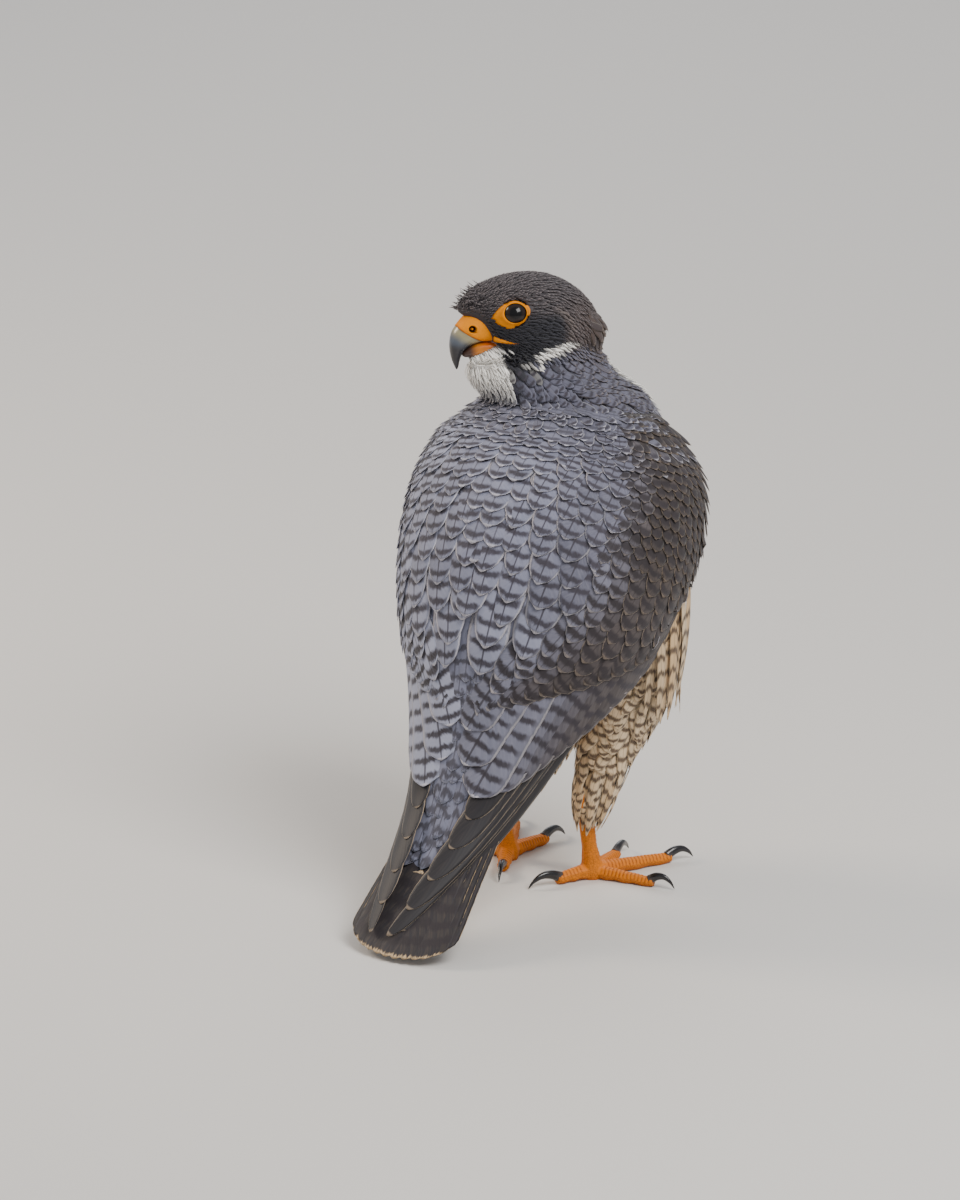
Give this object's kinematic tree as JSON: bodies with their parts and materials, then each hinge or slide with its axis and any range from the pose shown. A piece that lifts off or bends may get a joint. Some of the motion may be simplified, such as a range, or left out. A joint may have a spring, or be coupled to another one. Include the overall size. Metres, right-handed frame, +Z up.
{
  "type": "peregrine falcon, still life-size model",
  "caption": "Life-size still peregrine falcon standing upright with folded wings, head turned back over its left shoulder.",
  "frame": {"origin": "on the ground, under the middle of the bird's bounding box", "axes": "+Z up, from the ground to the crown; +X to the bird's own left; -Y the way its body heads, +Y to its tail"},
  "size_m": [0.1798, 0.2654, 0.3534],
  "materials": {
    "trunk_feathers": "cream feathers barred dark brown, matte",
    "neck_feathers": "pale throat and dark nape feathers, matte",
    "head_feathers": "short blackish slate feathers, matte",
    "back_feathers": "slate blue-grey feathers with dark bars and pale fringes",
    "wing_feathers": "dark brown-grey feathers with buff fringes",
    "flight_feathers": "blackish flight feathers with thin pale edges",
    "tail_feathers": "blackish barred feathers with a buff tip band",
    "thigh_feathers": "loose cream feathers barred dark brown",
    "cere_skin": "waxy yellow skin",
    "bill_horn": "polished blue-grey horn, black at the tip",
    "eye_wet": "wet, near-black brown",
    "foot_skin": "scaly orange-yellow skin",
    "claw_horn": "polished black horn"
  },
  "bodies": {
    "root": {"trunk": "trunk_feathers", "neck": "neck_feathers", "tail": "tail_feathers", "head": "head_feathers", "cere": "cere_skin", "bill_upper": "bill_horn", "bill_lower": "bill_horn", "eye_left": "eye_wet", "shoulder_left": "back_feathers", "wing_left": "wing_feathers", "primaries_left": "flight_feathers", "thigh_left": "thigh_feathers", "tarsus_left": "foot_skin", "toe_3_left": "foot_skin", "claw_3_left": "claw_horn", "toe_2_left": "foot_skin", "claw_2_left": "claw_horn", "toe_4_left": "foot_skin", "claw_4_left": "claw_horn", "toe_1_left": "foot_skin", "claw_1_left": "claw_horn", "eye_right": "eye_wet", "shoulder_right": "back_feathers", "wing_right": "wing_feathers", "primaries_right": "flight_feathers", "thigh_right": "thigh_feathers", "tarsus_right": "foot_skin", "toe_3_right": "foot_skin", "claw_3_right": "claw_horn", "toe_2_right": "foot_skin", "claw_2_right": "claw_horn", "toe_4_right": "foot_skin", "claw_4_right": "claw_horn", "toe_1_right": "foot_skin", "claw_1_right": "claw_horn"}
  },
  "joints": []
}
